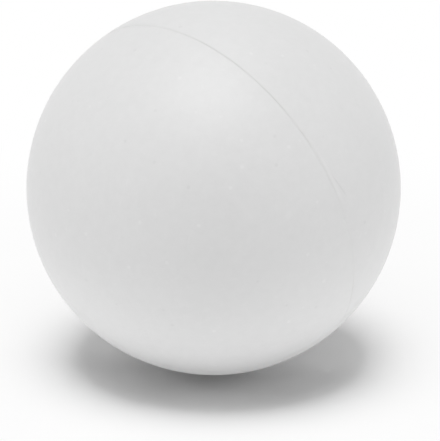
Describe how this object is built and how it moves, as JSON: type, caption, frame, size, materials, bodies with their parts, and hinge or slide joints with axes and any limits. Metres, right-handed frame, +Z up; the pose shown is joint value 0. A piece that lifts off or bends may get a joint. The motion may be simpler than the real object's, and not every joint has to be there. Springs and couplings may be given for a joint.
{
  "type": "lacrosse ball",
  "caption": "Solid white rubber ball for a game of catching and throwing with netted sticks, smooth and matte, with a trimmed mould line around it.",
  "frame": {"origin": "centre of the ball", "axes": "+Z up as the ball lies, -Y towards the side it is seen from; the mould's axis leans 76.2 degrees from +Z, in the direction 46.6 degrees from +X towards +Y"},
  "size_m": [0.0634, 0.0634, 0.0634],
  "materials": {
    "white_rubber": "matte moulded rubber, faintly grained by the blasted mould",
    "cut_rubber": "dull rubber, cut and buffed, a little grey with handling"
  },
  "bodies": {
    "root": {"front_half": "white_rubber", "rear_half": "white_rubber", "flash_ring": "cut_rubber"}
  },
  "joints": []
}
